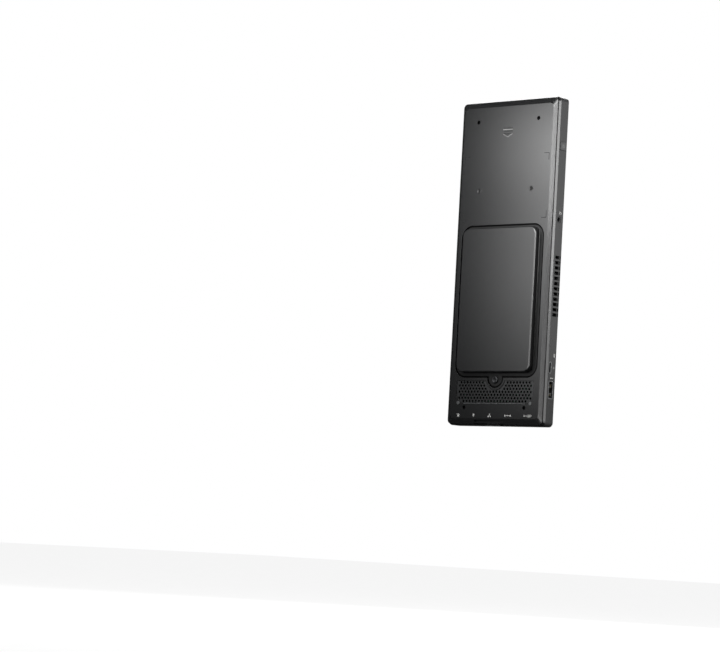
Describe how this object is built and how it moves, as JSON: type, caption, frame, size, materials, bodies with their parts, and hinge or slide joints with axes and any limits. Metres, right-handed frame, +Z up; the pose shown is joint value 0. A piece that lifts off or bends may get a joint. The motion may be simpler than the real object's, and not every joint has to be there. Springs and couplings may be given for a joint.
{
  "type": "mini pc",
  "caption": "Slim upright mini computer module with a raised drive door, intake grille, side vents, power button and ports, held by its back in a stand.",
  "frame": {"origin": "middle of the flat back that rests in the stand", "axes": "+Z up along the length, +X to the ports side, -Y out of the face with the drive door"},
  "size_m": [0.0966, 0.0197, 0.2562],
  "materials": {
    "tray_plastic": "fine matt texture, charcoal black",
    "cover_plastic": "fine matt texture, charcoal black",
    "grille_plastic": "matt black",
    "stake_plastic": "smooth grey",
    "door_plastic": "satin charcoal",
    "button_plastic": "satin black",
    "black_plastic": "moulded black",
    "black_steel": "black zinc",
    "steel_sheet": "plain zinc sheet",
    "steel_screw": "plain zinc",
    "port_steel": "tin plated",
    "drive_alloy": "brushed alloy",
    "fin_alloy": "plain fins",
    "gold_contact": "plated contact",
    "copper": "plain copper",
    "board_laminate": "green solder mask"
  },
  "bodies": {
    "chassis": {"base_tray": "tray_plastic", "face_cover": "cover_plastic", "intake_grille": "grille_plastic", "grille_stakes": "stake_plastic", "cover_screws": "black_steel", "power_switch": "black_plastic", "audio_jack": "black_plastic", "side_oval_shell": "port_steel", "side_oval_tongue": "black_plastic", "side_flat_shell": "port_steel", "side_flat_tongue": "black_plastic", "end_oval_shell": "port_steel", "end_oval_tongue": "black_plastic", "end_flat_shell": "port_steel", "end_flat_tongue": "black_plastic", "lan_jack": "port_steel", "lan_contacts": "gold_contact", "dc_jack": "black_plastic", "dc_pin": "gold_contact", "lock_plate": "steel_sheet", "system_board": "board_laminate", "board_screws": "steel_screw", "board_chips": "black_plastic", "processor": "board_laminate", "cold_plate": "copper", "heat_pipe": "copper", "fin_stack": "fin_alloy", "fan_housing": "black_plastic", "fan_cover": "steel_sheet", "memory_socket": "black_plastic", "memory_lower": "board_laminate", "memory_upper": "board_laminate", "storage_socket": "black_plastic", "storage_card": "board_laminate", "radio_socket": "black_plastic", "radio_card": "board_laminate", "card_standoffs": "gold_contact", "card_screws": "steel_screw", "cell_holder": "black_plastic", "coin_cell": "steel_sheet", "antennas": "gold_contact", "antenna_leads": "black_plastic", "drive_socket": "black_plastic", "bay_shield": "steel_sheet"},
    "door": {"drive_door": "door_plastic", "drive_bracket": "steel_sheet", "storage_drive": "drive_alloy", "drive_screws": "steel_screw", "drive_plug": "black_plastic"},
    "tongue_screw": {"tongue_screw": "steel_screw", "screw_clip": "steel_sheet"},
    "button": {"power_button": "button_plastic"},
    "rotor": {"fan_rotor": "black_plastic"}
  },
  "joints": [
    {"name": "door_lift", "type": "slide", "parent": "chassis", "child": "door", "axis": [0, -1, 0], "range_m": [0, 0.025]},
    {"name": "screw_turn", "type": "hinge", "parent": "door", "child": "tongue_screw", "pos_m": [0, -0.0139, -0.0925], "axis": [0, -1, 0], "continuous": true},
    {"name": "power_press", "type": "slide", "parent": "chassis", "child": "button", "axis": [-1, 0, 0], "range_m": [0, 0.0006], "stiffness_N_per_m": 1500},
    {"name": "fan_spin", "type": "hinge", "parent": "chassis", "child": "rotor", "pos_m": [0.006, -0.004, -0.0193], "axis": [0, -1, 0], "continuous": true}
  ]
}
